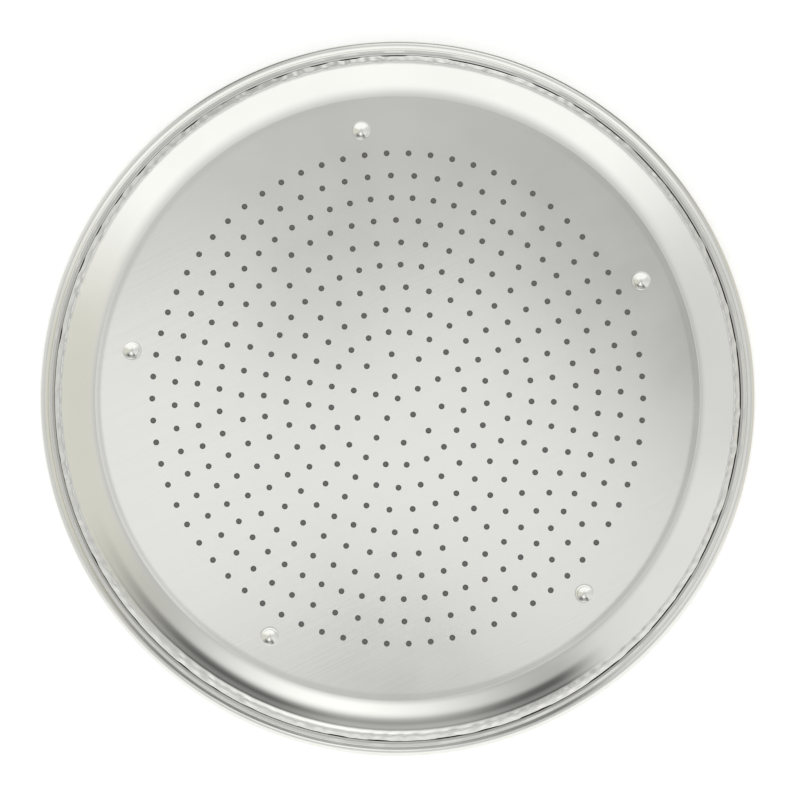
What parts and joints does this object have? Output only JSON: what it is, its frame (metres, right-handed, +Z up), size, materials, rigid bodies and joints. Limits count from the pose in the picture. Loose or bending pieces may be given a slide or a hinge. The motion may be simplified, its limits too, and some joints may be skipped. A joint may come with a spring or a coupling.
{
  "type": "pizza pan",
  "caption": "Round perforated pizza pan, double-walled in pressed aluminium with an air space, spacer dimples, a curved wall and a rolled rim stiffened by a wire.",
  "frame": {"origin": "centre of the underside, on the surface that the pan rests on", "axes": "+Z up out of the dish; +X along the ray on which every ring of steam holes has a hole"},
  "size_m": [0.4064, 0.4064, 0.0151],
  "materials": {
    "baking_sheet": "satin rolled sheet",
    "lower_sheet": "satin rolled sheet",
    "rim_wire": "galvanised wire"
  },
  "bodies": {
    "root": {"upper_pan": "baking_sheet", "lower_pan": "lower_sheet", "rim_wire": "rim_wire"}
  },
  "joints": []
}
